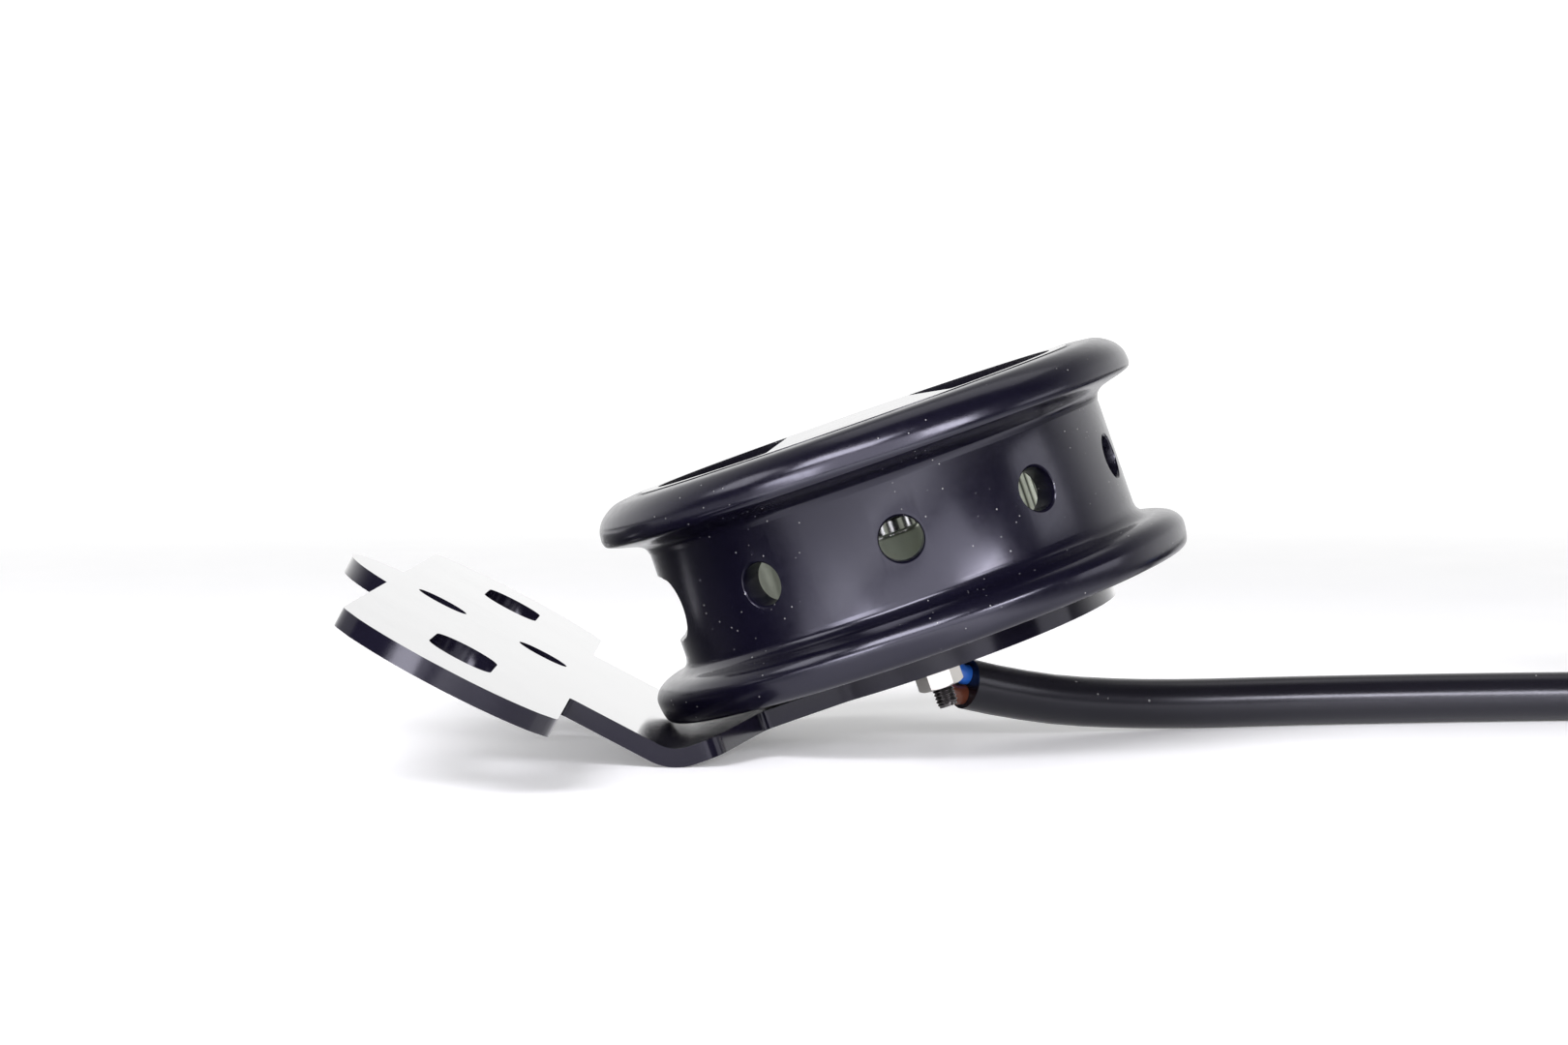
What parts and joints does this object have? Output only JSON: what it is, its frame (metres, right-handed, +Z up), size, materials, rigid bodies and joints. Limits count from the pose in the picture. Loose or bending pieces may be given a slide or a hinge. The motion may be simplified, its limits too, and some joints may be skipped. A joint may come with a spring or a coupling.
{
  "type": "cup anemometer",
  "caption": "Enclosed cup anemometer: a spool-shaped guard housing with round wind ports around a small cup rotor, on a bent sheet bracket with slots, with its sensor lead.",
  "frame": {"origin": "on the surface the object lies on, under the middle of the bracket and housing (the lead and its coil are not counted)", "axes": "+Z up from the surface; +X from the clamp plate towards the lead; +Y away from the viewer, along the clamp plate's length. The rotor axis leans 19 degrees from +Z towards -X"},
  "size_m": [0.2994, 0.1947, 0.0567],
  "materials": {
    "anodised_black": "semi-gloss black anodised aluminium with a faint blue-violet sheen",
    "coated_black": "semi-gloss black coated steel sheet",
    "gasket_rubber": "matt black rubber",
    "zinc_steel": "bright zinc-plated steel",
    "bearing_steel": "polished steel",
    "bare_aluminium": "bare turned aluminium",
    "circuit_board": "green solder resist",
    "switch_glass": "greenish glass tube",
    "rotor_pale": "pale grey-green moulded plastic, satin",
    "magnet_dark": "dark grey bonded magnet",
    "lead_black": "semi-gloss black cable jacket",
    "core_blue": "blue wire insulation",
    "core_brown": "brown wire insulation",
    "tie_nylon": "black nylon band"
  },
  "bodies": {
    "sensor_body": {"guard_housing": "anodised_black", "bearing_bridge": "anodised_black", "mounting_bracket": "coated_black", "base_gasket": "gasket_rubber", "stud_front": "zinc_steel", "stud_rear": "zinc_steel", "nut_front": "zinc_steel", "nut_rear": "zinc_steel", "bearing_post": "bare_aluminium", "sensor_board": "circuit_board", "reed_switch": "switch_glass", "lower_bearing_outer": "bearing_steel", "upper_bearing_outer": "bearing_steel", "lead_grommet": "lead_black", "core_blue": "core_blue", "core_brown": "core_brown", "lead_jacket": "lead_black", "lead_coil": "lead_black", "coil_tie": "tie_nylon", "lead_end": "lead_black", "tail_blue": "core_blue", "tail_brown": "core_brown", "pin_blue": "zinc_steel", "pin_brown": "zinc_steel"},
    "rotor": {"rotor_shaft": "bearing_steel", "rotor_disc": "rotor_pale", "rotor_ring": "rotor_pale", "shaft_collar": "bearing_steel", "pulse_magnet": "magnet_dark", "lower_bearing_inner": "bearing_steel", "upper_bearing_inner": "bearing_steel", "cup_1": "rotor_pale", "cup_2": "rotor_pale", "cup_3": "rotor_pale", "cup_4": "rotor_pale", "cup_5": "rotor_pale", "cup_6": "rotor_pale"}
  },
  "joints": [
    {"name": "rotor_spin", "type": "hinge", "parent": "sensor_body", "child": "rotor", "pos_m": [0.01809, 0, 0.02945], "axis": [-0.3256, 0, 0.9455], "continuous": true}
  ]
}
